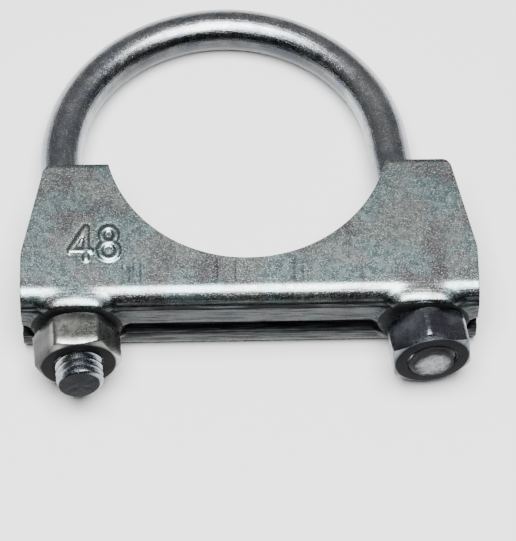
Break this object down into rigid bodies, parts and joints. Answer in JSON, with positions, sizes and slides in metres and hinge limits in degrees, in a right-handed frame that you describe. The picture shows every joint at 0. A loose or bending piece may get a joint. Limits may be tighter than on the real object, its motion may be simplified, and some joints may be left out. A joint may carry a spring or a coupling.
{
  "type": "u-bolt",
  "caption": "Exhaust U-bolt clamp lying on its side: round rod bent to a U with threaded ends, pressed channel saddle with pipe cut-outs, and hex nuts on its web.",
  "frame": {"origin": "on the lower cheek's flat outer face, mid-width, 26.6 mm from the pipe axis towards the web", "axes": "+X along the saddle, +Y from the nuts to the arch, +Z along the clamped pipe, up from the floor the clamp lies on"},
  "size_m": [0.076, 0.0772, 0.0166],
  "materials": {
    "zinc_sheet": "mottled zinc plating, satin",
    "zinc_rod": "zinc plated drawn rod, semi-bright",
    "nut_bright": "zinc plated, satin",
    "nut_dark": "dark mottled zinc plating"
  },
  "bodies": {
    "saddle": {"saddle": "zinc_sheet"},
    "u_bolt": {"u_bolt": "zinc_rod"},
    "nut_left": {"nut_left": "nut_bright"},
    "nut_right": {"nut_right": "nut_dark"}
  },
  "joints": [
    {"name": "u_bolt_draw", "type": "slide", "parent": "saddle", "child": "u_bolt", "axis": [0.1023, -0.9916, 0.0798], "range_m": [-0.00187, 0.005]},
    {"name": "nut_left_turn", "type": "hinge", "parent": "saddle", "child": "nut_left", "pos_m": [-0.02902, -0.00718, 0.00876], "axis": [-0.0804, 0.9936, -0.0799], "range_deg": [-560, 1465]},
    {"name": "nut_right_turn", "type": "hinge", "parent": "saddle", "child": "nut_right", "pos_m": [0.02917, -0.00739, 0.00878], "axis": [-0.1241, 0.9891, -0.0796], "range_deg": [-560, 1465]}
  ],
  "couplings": [
    {"joint": "nut_left_turn", "follows": "u_bolt_draw", "rad_per_m": 5026.5},
    {"joint": "nut_right_turn", "follows": "u_bolt_draw", "rad_per_m": 5026.5}
  ]
}
